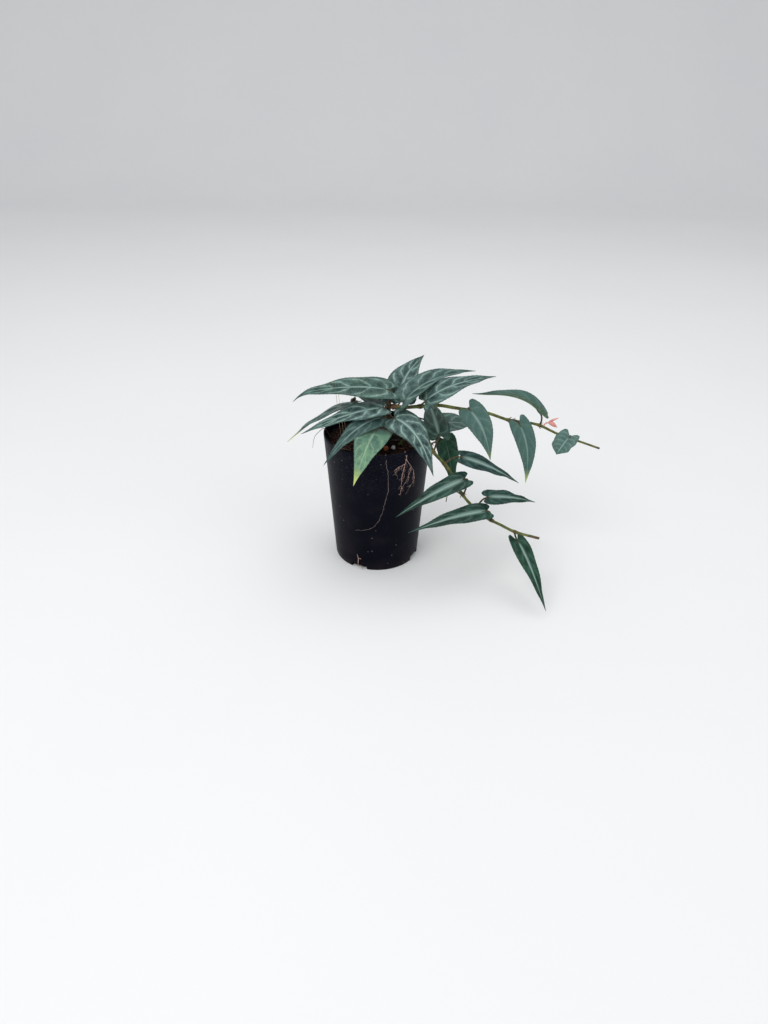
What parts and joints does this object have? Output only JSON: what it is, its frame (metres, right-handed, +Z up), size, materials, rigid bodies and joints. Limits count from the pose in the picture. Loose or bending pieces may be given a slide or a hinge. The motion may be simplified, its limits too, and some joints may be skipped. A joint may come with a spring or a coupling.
{
  "type": "cissus plant",
  "caption": "Young cissus with silver-veined heart-shaped leaves, one arching vine and one trailing vine, in a plain black nursery pot.",
  "frame": {"origin": "centre of the pot's underside, on the surface that it stands on", "axes": "+Z up; +X towards the end of the arching vine, which is the longest way across; -Y is the front"},
  "size_m": [0.293, 0.1672, 0.1851],
  "materials": {
    "pot": "smooth black with a soft sheen",
    "mix": "damp, dark, fibrous bark mix",
    "bark": "brown woody stem, dull",
    "vine": "olive green stem, satin",
    "leaf": "dark blue green with silver veins, satin",
    "leaf_pale": "pale green going to a yellow tip, satin",
    "leaf_green": "deep green, satin",
    "root": "pale brown, dull",
    "shoot": "pink, soft sheen",
    "bead": "orange brown, satin",
    "perlite": "white, matt"
  },
  "bodies": {
    "root": {"nursery_pot": "pot", "potting_mix": "mix", "crown_stem": "bark", "upper_vine": "vine", "trailing_vine": "vine", "dry_stub": "bark", "leaf_left_long": "leaf", "leaf_left_mid": "leaf", "leaf_left_low": "leaf", "leaf_left_back": "leaf", "leaf_front_left": "leaf", "leaf_front_pale": "leaf_pale", "leaf_upright": "leaf", "leaf_right_arched": "leaf", "leaf_right_upper": "leaf", "leaf_front_right": "leaf", "leaf_back_dark": "leaf", "leaf_back_grey": "leaf", "vine_leaf_1": "leaf", "vine_leaf_2": "leaf", "vine_leaf_3": "leaf", "vine_leaf_4": "leaf", "trail_leaf_1": "leaf", "trail_leaf_2": "leaf_green", "trail_leaf_3": "leaf", "trail_leaf_4": "leaf", "trail_leaf_5": "leaf", "trail_leaf_6": "leaf", "long_root": "root", "root_cluster": "root", "tendril": "vine", "young_shoot": "shoot", "fertiliser_bead": "bead", "perlite_grain": "perlite"}
  },
  "joints": []
}
